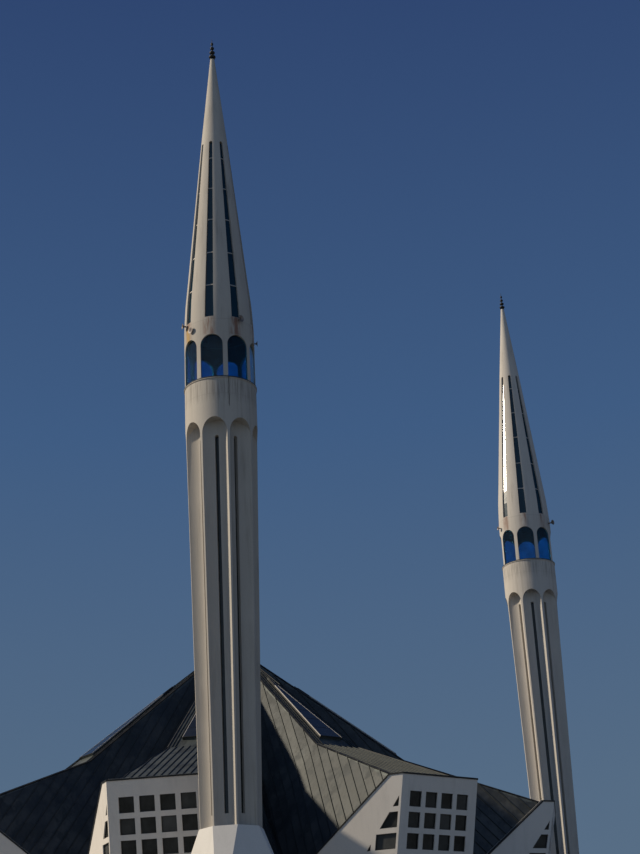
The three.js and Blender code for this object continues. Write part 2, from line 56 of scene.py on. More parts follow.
def new_object(name, data):
    made = bpy.data.objects.new(name, data)
    bpy.context.scene.collection.objects.link(made)
    return made


def direction(turn, height):
    """Unit vector at a turn round the z axis and a height over the horizon."""
    flat = cos(height)
    return Vector((flat * cos(turn), flat * sin(turn), sin(height)))


forward = direction(AHEAD, TIPPED_UP)
level_right = forward.cross(Vector((0, 0, 1))).normalized()
level_up = level_right.cross(forward)
up = level_up * cos(LEANING) + level_right * sin(LEANING)
right = forward.cross(up)

lens = bpy.data.cameras.new("photo_camera")
lens.lens, lens.sensor_width, lens.clip_end = 66.217, 36, 500
camera = new_object("photo_camera", lens)
axes = Matrix((right, up, -forward)).transposed().to_4x4()
camera.matrix_world = Matrix.Translation(CAMERA_SPOT) @ axes
bpy.context.scene.camera = camera
print("camera looks along", [round(v, 3) for v in forward])

# %% [markdown]
# ## Tools for the finishes
# A few helpers keep the paints short. They add to the node tree that was opened last, so the
# code reads like the sums that the nodes do.

# %% Node helpers
work = {"tree": None}


def draw_on(tree):
    work["tree"] = tree
    return tree


def feed(node, values):
    """Gives the inputs of a node their values or links; a colour is three numbers."""
    for key, value in values.items():
        socket = node.inputs[key]
        if isinstance(value, bpy.types.NodeSocket):
            work["tree"].links.new(value, socket)
        else:
            socket.default_value = (*value, 1) if socket.type == "RGBA" else value
    return node


def put(kind, values=None, **settings):
    """One shader node with its settings, and with values or links on its inputs."""
    node = work["tree"].nodes.new(kind if kind.startswith("NodeGroup") else "ShaderNode" + kind)
    for key, value in settings.items():
        setattr(node, key, value)
    return feed(node, values or {})


def here():
    return put("TexCoord").outputs["Object"]


def split(place):
    return put("SeparateXYZ", {0: place}).outputs


def combine(x, y, z=0.0):
    return put("CombineXYZ", {0: x, 1: y, 2: z}).outputs[0]


def calc(operation, a, b=0.0, c=0.0, clamp=False):
    return put("Math", {0: a, 1: b, 2: c}, operation=operation, use_clamp=clamp).outputs[0]


def times(a, b, plus=None, clamp=False):
    """Product of two values, with a third added if it is given."""
    if plus is None:
        return calc("MULTIPLY", a, b, clamp=clamp)
    return calc("MULTIPLY_ADD", a, b, plus, clamp)


def vector_calc(operation, a, b=(0, 0, 0)):
    result = "Value" if operation in ("LENGTH", "DOT_PRODUCT") else "Vector"
    return put("VectorMath", {0: a, 1: b}, operation=operation).outputs[result]


def spread(value, low, high, to_low=0.0, to_high=1.0):
    """Stretches the part of a value between low and high."""
    return put("MapRange", {
        "Value": value, "From Min": low, "From Max": high, "To Min": to_low, "To Max": to_high,
    }).outputs["Result"]


def noise(scale, detail=3.0, roughness=0.55, stretch=(1, 1, 1)):
    """Cloudy noise; a number of the stretch above one draws it together along that axis."""
    return put("TexNoise", {
        "Vector": vector_calc("MULTIPLY", here(), stretch), "Scale": scale, "Detail": detail,
        "Roughness": roughness,
    }).outputs["Fac"]


def blend(amount, first, second, kind="MIX"):
    colours = {0: amount, 6: first, 7: second}
    return put("Mix", colours, data_type="RGBA", blend_type=kind).outputs[2]


def bump(height, strength, distance):
    values = {"Height": height, "Strength": strength, "Distance": distance}
    return put("Bump", values).outputs["Normal"]


def toned(colour, factor):
    return tuple(factor * channel for channel in colour)


def start_finish(name):
    """A material with its output and its shader, open for more nodes."""
    paint = bpy.data.materials.new(name)
    paint.use_nodes = True
    draw_on(paint.node_tree).nodes.clear()
    shader = put("BsdfPrincipled")
    put("OutputMaterial", {"Surface": shader.outputs[0]})
    return paint, shader


# %% [markdown]
# ## Floor and light
# One warm lamp low on the left gives the towers their lit and shaded sides. Blue surroundings
# and a weak, very soft lamp fill the shade. The pale floor is darker for bounced light than for
# the eye, since a floor of this size would light the towers more than real ground does.

# %% Floor
FLOOR_REACH, FLOOR_LEVEL = 220.0, -0.002
FLOOR_SEEN, FLOOR_MIRRORED = (0.48, 0.48, 0.47), (0.17, 0.18, 0.18)

floor_mesh = bpy.data.meshes.new("studio_floor")
floor_mesh.from_pydata(
    [(x * FLOOR_REACH, y * FLOOR_REACH, 0) for x, y in ((-1, -1), (1, -1), (1, 1), (-1, 1))],
    [], [(0, 1, 2, 3)],
)
studio_floor = new_object("studio_floor", floor_mesh)
studio_floor.location.z = FLOOR_LEVEL
floor_paint, floor_shader = start_finish("studio_floor")
seen = put("LightPath").outputs["Is Camera Ray"]
feed(floor_shader, {"Base Color": blend(seen, FLOOR_MIRRORED, FLOOR_SEEN), "Roughness": 0.9})
floor_mesh.materials.append(floor_paint)

# %% Light
SUN_BEARING, SUN_HEIGHT = radians(120.5), radians(31)
OPEN_SKY = Vector((-0.86, -0.38, 0.34))
SKY = {0.0: (0.110, 0.165, 0.235, 1), 0.16: (0.090, 0.148, 0.231, 1),
       0.38: (0.050, 0.107, 0.225, 1), 0.62: (0.028, 0.060, 0.160, 1)}  # by height, horizon first


def add_lamp(name, energy, colour, width, toward):
    """A distant lamp, as wide as an angle, that shines from a direction."""
    lamp = bpy.data.lights.new(name, "SUN")
    lamp.energy, lamp.color, lamp.angle = energy, colour, radians(width)
    placed = new_object(name, lamp)
    placed.rotation_mode = "QUATERNION"
    placed.rotation_quaternion = toward.to_track_quat("Z", "Y")


toward_sun = direction(SUN_BEARING, SUN_HEIGHT)
add_lamp("key_lamp", 4.0, (1.0, 0.88, 0.70), 2.5, toward_sun)
add_lamp("fill_lamp", 0.30, (0.62, 0.80, 1.0), 80, OPEN_SKY)

surround = bpy.data.worlds.new("studio_surround")
surround.use_nodes = True
draw_on(surround.node_tree)
height_seen = split(put("TexCoord").outputs["Generated"])["Z"]
fade = put("ValToRGB", {0: height_seen})
stops = fade.color_ramp.elements
for height, colour in SKY.items():
    stop = stops.new(height) if height else stops[0]
    stop.color = colour
stops.remove(stops[-1])
feed(surround.node_tree.nodes["Background"], {"Color": fade.outputs[0]})
bpy.context.scene.world = surround
bpy.context.scene.view_settings.view_transform = "Standard"
print("lamp comes from", [round(v, 2) for v in toward_sun])

# %% [markdown]
# ## Weather
# Rain draws streaks down a wall, dirt gathers in blotches, and a cast surface has a fine grain.
# Each is a node group, built once and set in every finish with its own numbers.

# %% Rain streaks, blotches and grain
def start_group(name, **numbers):
    """A node group that takes numbers, open for more nodes."""
    tree = draw_on(bpy.data.node_groups.new(name, "ShaderNodeTree"))
    for label, number in numbers.items():
        socket = tree.interface.new_socket(label, in_out="INPUT", socket_type="NodeSocketFloat")
        socket.default_value = number
    return put("NodeGroupInput").outputs


def end_group(**results):
    for label in results:
        work["tree"].interface.new_socket(label, in_out="OUTPUT", socket_type="NodeSocketFloat")
    put("NodeGroupOutput", results)
    return work["tree"]


def place_group(group, **values):
    return put("Group", values, node_tree=group).outputs


def build_rain_streaks():
    """Dark runs that follow the water down, wide apart or close."""
    given = start_group("rain streaks", Width=0.2, Length=3.0, Amount=1.0)
    across, down = (calc("DIVIDE", 1.0, given[label]) for label in ("Width", "Length"))
    runs = spread(noise(1.0, 4.0, 0.6, combine(across, across, down)), 0.48, 0.72)
    patches = spread(noise(0.9, 2.0), 0.35, 0.65)
    return end_group(Mask=times(times(runs, patches), given["Amount"], clamp=True))


def build_blotches():
    given = start_group("blotches", Size=1.0, Contrast=1.0)
    cloud = noise(calc("DIVIDE", 1.0, given["Size"]), 6.0, 0.6)
    contrast = times(given["Contrast"], 3.0)
    return end_group(Mask=times(calc("SUBTRACT", cloud, 0.5), contrast, 0.5, clamp=True))


def build_grain():
    """Fine pitting of a cast or painted surface, as a height and as a tone."""
    given = start_group("cast grain", Size=0.02, Pits=0.5)
    scale = calc("DIVIDE", 1.0, given["Size"])
    fine = noise(scale, 4.0, 0.65)
    holes = put("TexVoronoi", {"Vector": here(), "Scale": times(scale, 0.35)})
    pits = spread(holes.outputs["Distance"], 0.0, 0.12, 1.0, 0.0)
    return end_group(Height=calc("SUBTRACT", fine, times(pits, given["Pits"])), Tone=fine)


rain_streaks, blotches, cast_grain = build_rain_streaks(), build_blotches(), build_grain()


def rain(width, length, amount):
    return place_group(rain_streaks, Width=width, Length=length, Amount=amount)["Mask"]


def blotch(size, contrast):
    return place_group(blotches, Size=size, Contrast=contrast)["Mask"]


def grain(size, pits):
    return place_group(cast_grain, Size=size, Pits=pits)


print("node groups:", [g.name for g in bpy.data.node_groups])

# %% [markdown]
# ## Stains of the towers
# Rust runs down from every slot of the spire, thin streaks hang below the ledge, the pours of
# concrete meet in faint joints, and one pier has a crack. All lie at known heights and bearings,
# so the group measures the height and the turn of each point.

# %% Tower stains
DRUM_TOP, ARCH_TOP, SLOT_BOTTOM = 17.68, 18.965, 19.485
HORN_TURNS, HORN_HEIGHTS = (-0.98, -0.78), (18.9, 19.34)
CRACK_TURNS, CRACK_HEIGHTS = (0.421, 0.447), (16.9, 17.75)
POUR_JOINTS = ((17.245, 17.255), (19.395, 19.405))
STREAK_LENGTH, THIN_RUNS, WIDE_DRIPS = 0.55, (26.0, 26.0, 1.1), (9.0, 9.0, 1.6)


def between(value, low, high, soft):
    """One between two limits, with soft edges."""
    rise = spread(value, low - soft, low + soft)
    return times(rise, spread(value, high - soft, high + soft, 1.0, 0.0))


def build_tower_stains():
    given = start_group("tower stains", Rust=1.0, Horn=0.0, Streaks=1.0, Crack=0.0, Twist=0.0)
    x, y, height = split(here())
    turn = calc("ARCTAN2", y, x)
    eighth = times(turn, 4 / pi, given["Twist"])
    aside = times(calc("ABSOLUTE", calc("SUBTRACT", eighth, calc("ROUND", eighth))), 0.73)
    runs = spread(noise(1.0, 3.0, 0.6, THIN_RUNS), 0.42, 0.62)
    drips = spread(noise(1.0, 3.0, 0.6, WIDE_DRIPS), 0.35, 0.65)

    under_slot = times(spread(aside, 0.05, 0.20, 1.0, 0.0), between(height, ARCH_TOP, SLOT_BOTTOM, 0.03))
    rust = times(times(under_slot, drips), given["Rust"], clamp=True)

    below_horns = times(between(turn, *HORN_TURNS, 0.05), between(height, *HORN_HEIGHTS, 0.05))
    horn = times(below_horns, spread(drips, 0.0, 0.7, 0.35, 1.0))
    horn = times(horn, given["Horn"], clamp=True)

    streaks = times(runs, between(height, DRUM_TOP - STREAK_LENGTH, DRUM_TOP, 0.12))
    streaks = times(times(streaks, given["Streaks"]), 0.6)
    joints = calc("MAXIMUM", *(between(height, *limits, 0.006) for limits in POUR_JOINTS))
    wander = times(noise(5.0), 0.03, -0.015)
    crack = between(calc("ADD", turn, wander), *CRACK_TURNS, 0.006)
    crack = times(times(crack, between(height, *CRACK_HEIGHTS, 0.05)), given["Crack"])
    marks = calc("MAXIMUM", times(joints, 0.35), crack)
    return end_group(Rust=rust, Horn=horn, Dark=calc("MAXIMUM", streaks, marks, clamp=True))


tower_stains = build_tower_stains()

# %% [markdown]
# ## Cast concrete
# Towers, window walls and pedestals are painted concrete, weathered to a warm cream with broad
# blotches, thin streaks and a fine grain. One function makes them all, with different wear, and
# the right tower's paler copy is painted light.

# %% Concrete finishes
RUST, HORN_RUST = (0.22, 0.125, 0.09), (0.42, 0.27, 0.08)


def concrete(name, clean, dirty, streak_width, streaks, patchy, stains=None):
    paint, shader = start_finish(name)
    broad, pitted = blotch(2.2, patchy), grain(0.018, 0.5)
    worn = tuple(0.80 * c + 0.20 * d for c, d in zip(clean, dirty))
    body = blend(broad, clean, worn)
    body = blend(times(blotch(0.25, patchy * 0.6), 0.35), body, worn)
    body = blend(rain(streak_width, 2.4, streaks), body, dirty)
    if stains:
        found = place_group(tower_stains, **stains)
        for stain, colour in (("Rust", RUST), ("Horn", HORN_RUST), ("Dark", toned(dirty, 0.35))):
            body = blend(found[stain], body, colour)
    speck = spread(pitted["Tone"], 0.3, 0.7, 0.93, 1.05)
    shade = put("CombineColor", {0: speck, 1: speck, 2: speck}).outputs[0]
    feed(shader, {
        "Base Color": blend(1.0, body, shade, "MULTIPLY"),
        "Roughness": times(broad, 0.1, 0.77),
        "Normal": bump(pitted["Height"], 0.35, 0.004),
    })
    return paint


left_tower_concrete = concrete(
    "left_tower_concrete", (0.46, 0.42, 0.365), (0.24, 0.21, 0.175), 0.10, 0.55, 0.8,
    dict(Rust=1.4, Horn=0.9, Streaks=0.7, Crack=1.0, Twist=0.12))
# The right tower gets a paler copy of the concrete: painted light for its brighter sunlit look, with less
# rust.
right_tower_concrete = concrete(
    "right_tower_concrete", (0.52, 0.48, 0.43), (0.27, 0.24, 0.20), 0.10, 0.55, 0.8,
    dict(Rust=0.9, Streaks=0.6))
wall_concrete = concrete("wall_concrete", (0.70, 0.65, 0.59), (0.40, 0.37, 0.33), 0.16, 0.35, 0.6)
# Very dark concrete for the inner faces of the gallery and the spire: painted shade.
room_concrete = concrete("room_concrete", (0.10, 0.10, 0.10), (0.04, 0.04, 0.04), 0.10, 0.5, 0.8)
pedestal_paint = concrete("pedestal_paint", (0.66, 0.63, 0.585), (0.42, 0.40, 0.36), 0.22, 0.25, 0.5)

# %% [markdown]
# ## The roof's own measure
# All eight bays are alike, so the lesson works in one bay's frame: x runs out along the bay,
# y across it, z up. The corner points are those of the solids. Sheets run parallel to the valley
# on the steep sides, and straight out along the flat strip.

# %% One bay of the roof
BAYS = 8
BAY_ANGLE = 2 * pi / BAYS
FIRST_BAY = -pi / 2 - BAY_ANGLE / 2

APEX = Vector((0, 0, 13.96))
KINK = Vector((5.51, 0.755, 9.635))
STRIP_END = Vector((9.76, 1.278, 7.922))
VALLEY_KINK = Vector((4.619, 1.913, 7.568))
VALLEY_END = Vector((6.80, 2.815, 5.51))
SHEET_PITCH = 0.285
STRIP_PITCH = 0.20
UPPER_SEAMS = (0.11, 0.21)  # from the ridge, beside the skylight
LOW_RUN = Vector((0.626, 0.319, -0.711))
HIGH_RUN = Vector((0.596, 0.222, -0.772))


def turn_z(angle):
    return Matrix.Rotation(angle, 4, "Z")


def bay_turn(bay):
    """Turns the frame of a bay, numbered from 1, into the frame of the building."""
    return turn_z(FIRST_BAY - (bay - 1) * BAY_ANGLE)


def mirrored(point, side):
    return Vector((point.x, side * point.y, point.z))


def plane_normal(a, b, c):
    normal = (b - a).cross(c - a).normalized()
    return normal if normal.z > 0 else -normal


def in_plane(run, normal):
    return (run - normal * run.dot(normal)).normalized()


low_normal = plane_normal(KINK, STRIP_END, VALLEY_END)
high_normal = plane_normal(APEX, KINK, VALLEY_KINK)
low_run, high_run = in_plane(LOW_RUN, low_normal), in_plane(HIGH_RUN, high_normal)

# The product of a count and a point numbers the sheets. Both counts agree along the fold.
fold_line = VALLEY_KINK - KINK
low_count = low_normal.cross(low_run).normalized() / SHEET_PITCH
high_count = high_normal.cross(high_run).normalized() / SHEET_PITCH
high_count = high_count * (low_count.dot(fold_line) / high_count.dot(fold_line))
print("sheets across the fold:", round(abs(low_count.dot(fold_line)), 1))

# %% [markdown]
# ## Sheet metal
# Old roofing sheets never match: each took its own shade of grey-green. The group below works
# out which sheet a point lies on, and gives each its own number.

# %% Sheet numbers for the paint
LAP_LENGTH = 1.6
FOLD_SLANT = fold_line.x / fold_line.y
STRIP_FLARE = (STRIP_END.y - KINK.y) / (STRIP_END.x - KINK.x)


def dotted(place, vector):
    return vector_calc("DOT_PRODUCT", vector_calc("SUBTRACT", place, KINK), vector)


def choose(test, when_zero, when_one):
    return put("Mix", {"Factor": test, "A": when_zero, "B": when_one}).outputs["Result"]


def build_roof_sheets():
    """Tone of a sheet, nearness to its seams, the laps along it, and the strip."""
    start_group("roof sheets")
    x, y, z = split(here())
    steps = times(calc("ARCTAN2", y, x), 1 / BAY_ANGLE, -0.5)
    bay = calc("ROUND", steps)
    angle = times(calc("SUBTRACT", steps, bay), BAY_ANGLE)
    reach = vector_calc("LENGTH", combine(x, y))
    out_along = times(reach, calc("COSINE", angle))
    signed = times(reach, calc("SINE", angle))
    aside = calc("ABSOLUTE", signed)
    local = combine(out_along, aside, z)

    fold_x = times(aside, FOLD_SLANT, KINK.x - KINK.y * FOLD_SLANT)
    above_fold = calc("LESS_THAN", out_along, fold_x)
    slope = choose(above_fold, dotted(local, low_count), dotted(local, high_count))
    narrow = times(out_along, KINK.y / KINK.x)
    wide = times(out_along, STRIP_FLARE, KINK.y - KINK.x * STRIP_FLARE)
    on_strip = calc("LESS_THAN", aside, calc("MAXIMUM", narrow, wide))
    count = choose(on_strip, slope, times(aside, 1 / STRIP_PITCH, 0.5))

    seed = combine(calc("FLOOR", count), times(bay, 2.0, calc("SIGN", signed)), on_strip)
    chance = put("TexWhiteNoise", {"Vector": seed}, noise_dimensions="3D").outputs["Value"]
    middle = calc("SUBTRACT", calc("FRACT", count), 0.5)
    near = spread(calc("ABSOLUTE", middle), 0.33, 0.5)
    along = calc("DIVIDE", dotted(local, low_run), LAP_LENGTH)
    lap = spread(calc("FRACT", calc("ADD", along, times(chance, 7.0))), 0.0, 0.02, 1.0, 0.0)
    return end_group(Tone=chance, Near=near, Lap=lap, Strip=on_strip)


roof_sheets = build_roof_sheets()

# %% Roof finishes
def roofing(name, light, dark, strip_painted_reflection):
    paint, shader = start_finish(name)
    sheets = place_group(roof_sheets)
    cloud = blotch(0.45, 2.0)
    lower = spread(split(here())["Z"], 10.6, 6.2, -0.25, 0.30)
    tone = calc("ADD", times(sheets["Tone"], 0.45, times(cloud, 0.55)), lower)
    # The flat strip is painted lighter and greener: a painted reflection of the sky at a grazing angle.
    body = blend(times(sheets["Strip"], 0.35, tone, clamp=True), dark, light)
    body = blend(times(blotch(2.5, 1.0), 0.35), body, toned(light, 1.25))
    body = blend(times(sheets["Strip"], 0.8), body, strip_painted_reflection)
    body = blend(spread(blotch(0.7, 1.8), 0.5, 0.85, 0.0, 0.65), body, toned(dark, 1.3))
    grime = calc("MAXIMUM", times(sheets["Near"], 0.15), rain(0.09, 1.0, 0.5))
    grime = calc("MAXIMUM", grime, times(sheets["Lap"], 0.3))
    feed(shader, {
        "Base Color": blend(grime, body, toned(dark, 0.35)), "Metallic": 0.5,
        "Roughness": times(cloud, 0.12, 0.54),
        "Normal": bump(times(grain(0.03, 0.1)["Height"], 0.3, sheets["Lap"]), 0.4, 0.006),
    })
    return paint


sheet_metal = roofing(
    "sheet_metal", (0.076, 0.079, 0.075), (0.023, 0.027, 0.028), (0.100, 0.113, 0.105))


def plain_metal(name, colour, wear, rough, metal=0.6):
    """Painted sheet for edges, seams and frames, dulled in patches."""
    paint, shader = start_finish(name)
    cloud = blotch(0.3, 1.3)
    body = blend(rain(0.05, 0.6, 0.6), blend(cloud, colour, wear), toned(colour, 0.5))
    feed(shader, {
        "Base Color": body, "Metallic": metal, "Roughness": times(cloud, 0.15, rough - 0.07),
        "Normal": bump(grain(0.012, 0.2)["Height"], 0.2, 0.002),
    })
    return paint


seam_metal = plain_metal("seam_metal", (0.040, 0.044, 0.042), (0.064, 0.069, 0.064), 0.6)
flashing_metal = plain_metal("flashing_metal", (0.022, 0.023, 0.024), (0.045, 0.045, 0.042), 0.55)
pale_metal = plain_metal("pale_metal", (0.45, 0.42, 0.38), (0.32, 0.30, 0.27), 0.5, 0.2)
frame_metal = plain_metal("frame_metal", (0.030, 0.028, 0.026), (0.06, 0.055, 0.05), 0.45)
horn_metal = plain_metal("horn_metal", (0.22, 0.18, 0.165), (0.12, 0.10, 0.09), 0.5, 0.2)

# %% [markdown]
# ## Glass
# The panes of the walls are dark and a little wavy, and each is paler in its own way, with dust
# and painted reflection. Light comes through the deep blue glass of the galleries, which glows
# where the sky shows behind.

# %% Glass finishes
def dark_panes(name, colour, rough, dust_and_reflection=0.0, shine=0.5, haze=0.022):
    paint, shader = start_finish(name)
    film = calc("MAXIMUM", times(blotch(0.5, 1.2), 0.3), times(rain(0.06, 0.8, 0.5), 0.7))
    if dust_and_reflection:
        own = put("Attribute", attribute_name="pane_shade").outputs["Fac"]
        # Some panes are paler: dust, and painted reflection for panes that reflect unlike.
        film = calc("ADD", film, spread(own, 0.55, 1.0, 0.0, dust_and_reflection), clamp=True)
    dust = tuple(c * 1.5 + haze for c in colour)
    feed(shader, {
        "Base Color": blend(film, colour, dust), "Roughness": times(film, 0.2, rough),
        "Specular IOR Level": shine, "Normal": bump(noise(1.6, 1.0), 0.25, 0.02),
    })
    return paint


def clear_panes(name, colour, rough):
    paint, shader = start_finish(name)
    cloud = blotch(0.35, 1.2)
    feed(shader, {
        "Base Color": blend(cloud, colour, toned(colour, 0.7)), "Roughness": times(cloud, 0.08, rough),
        "Transmission Weight": 1.0, "IOR": 1.3, "Sheen Weight": 0.15, "Sheen Roughness": 0.5,
        "Sheen Tint": (0.55, 0.70, 0.75), "Normal": bump(noise(2.2, 1.0), 0.15, 0.01),
    })
    return paint


window_panes = dark_panes("window_panes", (0.014, 0.015, 0.013), 0.10, 0.6, 0.3, 0.07)
skylight_glass = dark_panes("skylight_glass", (0.012, 0.014, 0.016), 0.16, shine=0.35)
spire_panes = dark_panes("spire_panes", (0.004, 0.024, 0.040), 0.13, shine=0.3, haze=0.004)
blue_panes = clear_panes("blue_panes", (0.11, 0.53, 0.84), 0.04)

# %% [markdown]
# ## Stone floor
# The hall's floor is only seen through the doorways, but it still gets slabs with joints.

# %% Floor finish
def stone_floor():
    paint, shader = start_finish("stone_floor")
    slabs = put("TexBrick", {
        "Vector": here(), "Scale": 2.0, "Mortar Size": 0.012, "Color1": (0.36, 0.33, 0.29),
        "Color2": (0.29, 0.27, 0.24), "Mortar": (0.12, 0.11, 0.10),
    }).outputs
    cloud = blotch(0.8, 1.0)
    feed(shader, {
        "Base Color": blend(times(cloud, 0.4), slabs["Color"], (0.24, 0.22, 0.19)),
        "Roughness": times(cloud, 0.2, 0.45),
        "Normal": bump(calc("SUBTRACT", 1.0, slabs["Fac"]), 0.4, 0.003),
    })
    return paint


# %% Paint the solids
FINISHES = {  # by part of a node's name; the first that fits is taken
    "bay_walls": wall_concrete, "bay_roof": sheet_metal, "bay_glass": window_panes,
    "skylight_pane": skylight_glass, "hall_floor": stone_floor(), "finial": flashing_metal,
    "pedestal": pedestal_paint, "gallery_glass": blue_panes, "spire_glass": spire_panes,
    "loudspeaker": horn_metal, "left": left_tower_concrete, "right": right_tower_concrete,
}
for name in nodes:
    materials = nodes[name].data.materials
    materials.clear()
    materials.append(next(finish for part, finish in FINISHES.items() if part in name))
print("finishes:", len(bpy.data.materials))

# %% [markdown]
# ## Making pieces
# Most of what is added is a section swept along an edge, or a straight bar, which is a sweep
# of two rings. A piece rides on the building, and unless it is cast concrete its place is moved
# into its mesh.

# %% Mesh helpers
def join_rings(mesh, one, two):
    count = len(one)
    return [mesh.faces.new((one[k], one[(k + 1) % count], two[(k + 1) % count], two[k]))
            for k in range(count)]


def add_sweep(mesh, rings):
    """Joins rings of points into a closed body, and gives its faces."""
    made = [[mesh.verts.new(point) for point in ring] for ring in rings]
    faces = [face for one, two in zip(made, made[1:]) for face in join_rings(mesh, one, two)]
    return faces + [mesh.faces.new(made[0][::-1]), mesh.faces.new(made[-1])]


def bar(start, end, out, width, height, sink=0.004):
    """Rings of a straight bar that stands out along the normal of a surface."""
    aside = (end - start).normalized().cross(out).normalized() * (width / 2)
    low, high = out * -sink, out * height
    section = [-aside + low, aside + low, aside + high, -aside + high]
    return [[spot + offset for offset in section] for spot in (start, end)]


def smooth_to(data, angle):
    data.shade_smooth()
    data.set_sharp_from_angle(angle=radians(angle))
    return data


def finish_mesh(mesh, name, finish, smooth=None):
    """A mesh with outward faces, smooth up to an angle if one is given."""
    bmesh.ops.recalc_face_normals(mesh, faces=mesh.faces)
    data = bpy.data.meshes.new(name)
    mesh.to_mesh(data)
    mesh.free()
    data.materials.append(finish)
    return smooth_to(data, smooth) if smooth else data


def swept(name, finish, sweeps):
    mesh = bmesh.new()
    for rings in sweeps:
        add_sweep(mesh, rings)
    return finish_mesh(mesh, name, finish)


def place_piece(name, data, slot, place=Matrix.Identity(4), replaced=None):
    """Adds a mesh. Its points are moved to the place, but cast paint counts on its own axes."""
    if slot != "cast_concrete":
        data = data.copy()
        data.transform(place)
        place = Matrix.Identity(4)
    piece = new_object(name, data)
    piece.matrix_world = place
    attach(piece, "root")
    if replaced:
        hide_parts(replaced)


def place_in_bays(*pieces):
    """A piece is a mesh, which it is named after, a slot, and perhaps the node it replaces."""
    for bay in range(1, BAYS + 1):
        for data, slot, *replaced in pieces:
            replaced = [f"{node}_{bay}" for node in replaced]
            place_piece(f"{data.name}_{bay}", data, slot, bay_turn(bay), *replaced)


# %% [markdown]
# ## Standing seams
# Each joint between two sheets is folded up into a low rib that catches the light and casts a
# thin shadow. Its line is cut to the outline of the facet, and a bar is laid along the rest.

# %% Seams
SEAM_WIDTH, SEAM_HEIGHT, SHORTEST_SEAM = 0.018, 0.022, 0.08
NUDGE, MARGIN = 1e-6, 0.02  # in sheets
strip_normal = plane_normal(APEX, KINK, mirrored(KINK, -1))
lower_strip_normal = plane_normal(KINK, STRIP_END, mirrored(KINK, -1))


def cut_lines(corners, count, origin):
    """Segments inside a flat polygon where the sheet count passes whole numbers."""
    marks = [count.dot(corner - origin) for corner in corners]
    marks = [mark + NUDGE if abs(mark - round(mark)) < NUDGE else mark for mark in marks]
    found = []
    for number in range(ceil(min(marks) + MARGIN), floor(max(marks) - MARGIN) + 1):
        ends = []
        for k, corner in enumerate(corners):
            n = (k + 1) % len(corners)
            if (marks[k] - number) * (marks[n] - number) < 0:
                ends.append(corner.lerp(corners[n], (number - marks[k]) / (marks[n] - marks[k])))
        if len(ends) == 2 and (ends[1] - ends[0]).length > SHORTEST_SEAM:
            found.append(ends)
    return found


def seam_lines():
    """Start, end and normal of every seam in a bay."""
    found = []
    for side in (-1, 1):
        low = [mirrored(p, side) for p in (KINK, STRIP_END, VALLEY_END, VALLEY_KINK)]
        high = [mirrored(p, side) for p in (APEX, KINK, VALLEY_KINK)]
        for corners, count, normal in ((low, low_count, low_normal), (high, high_count, high_normal)):
            lines = cut_lines(corners, mirrored(count, side), mirrored(KINK, side))
            found += [(start, end, mirrored(normal, side)) for start, end in lines]
        ridge = mirrored(KINK, side)
        for away in UPPER_SEAMS:
            aside = Vector((0, side * away, 0))
            found.append((APEX.lerp(ridge, away / KINK.y) - aside, ridge - aside, strip_normal))
    strip = [KINK, STRIP_END, mirrored(STRIP_END, -1), mirrored(KINK, -1)]
    middle = Vector((KINK.x, -STRIP_PITCH / 2, KINK.z))
    lines = cut_lines(strip, Vector((0, 1 / STRIP_PITCH, 0)), middle)
    return found + [(start, end, lower_strip_normal) for start, end in lines]


seams = [bar(*line, SEAM_WIDTH, SEAM_HEIGHT) for line in seam_lines()]
place_in_bays((swept("roof_seams", seam_metal, seams), "seamed_roof_metal"))
print("seams in a bay:", len(seams))

# %% [markdown]
# ## Ridge caps and valleys
# A folded cap covers the edge between the flat strip and the steep side, and a gutter sheet
# lines the valley where two bays meet. Both are darker than the sheets.

# %% Ridges and valleys
CAP_WIDTH, CAP_HEIGHT, CAP_SINK = 0.05, 0.016, 0.03
LEAF_WIDTH, LEAF_HEIGHT, LEAF_SINK, LEAF_ASIDE, LEAF_GAP = 0.10, 0.006, 0.002, 0.055, 0.12


def build_ridges():
    caps = []
    for side in (-1, 1):
        line = [mirrored(p, side) for p in (APEX, KINK, STRIP_END)]
        for start, end, slope in ((line[0], line[1], high_normal), (line[1], line[2], low_normal)):
            flat = plane_normal(start, end, mirrored(end, -1))
            out = (flat + mirrored(slope, side)).normalized()
            caps.append(bar(start, end, out, CAP_WIDTH, CAP_HEIGHT, CAP_SINK))
    return swept("ridge_caps", flashing_metal, caps)


def build_valley():
    """A leaf on either side of the valley, made on the x axis and turned."""
    leaves, half = [], BAY_ANGLE / 2
    to_axis = turn_z(-half)
    for top, end, normal in ((APEX, VALLEY_KINK, high_normal), (VALLEY_KINK, VALLEY_END, low_normal)):
        start, stop = to_axis @ top, to_axis @ end
        along = to_axis @ (end - top).normalized()
        for side in (-1, 1):
            out = turn_z(side * half) @ mirrored(normal, -side)
            away = out.cross(along).normalized()
            away = away * LEAF_ASIDE if away.y * side > 0 else away * -LEAF_ASIDE
            ends = (start + along * LEAF_GAP + away, stop + away)
            leaves.append(bar(*ends, out, LEAF_WIDTH, LEAF_HEIGHT, LEAF_SINK))
    data = swept("valley_lining", flashing_metal, leaves)
    data.transform(turn_z(half))
    return data


place_in_bays((build_ridges(), "seamed_roof_metal"), (build_valley(), "dark_metal"))

# %% [markdown]
# ## Skylights
# The upper part of every strip holds a long triangle of glass on a low curb. Its two long
# edges are folded metal, bleached pale, with a painted shadow of dark metal at their top, and
# narrow bars divide the glass.

# %% Skylight trims and bars
SKY_HEAD, SKY_FOOT, SKY_HALF = 2.05, 5.175, 0.39
CURB_HEIGHT, SKY_BARS, TIP_GAP, BAR_GAP = 0.075, 7, 0.12, 0.02
PAINTED_SHADOW_TO, PALE_DEPTH, EDGE_WIDTH, EDGE_INSET, RIM_LIFT = 0.15, 0.030, 0.020, 0.004, 0.016
GLASS_THICK, GLASS_INSET, GLASS_LIFT = 0.010, 0.01, 0.0005


def on_strip(x, y=0.0):
    return Vector((x, y, APEX.z - x * (APEX.z - KINK.z) / KINK.x))


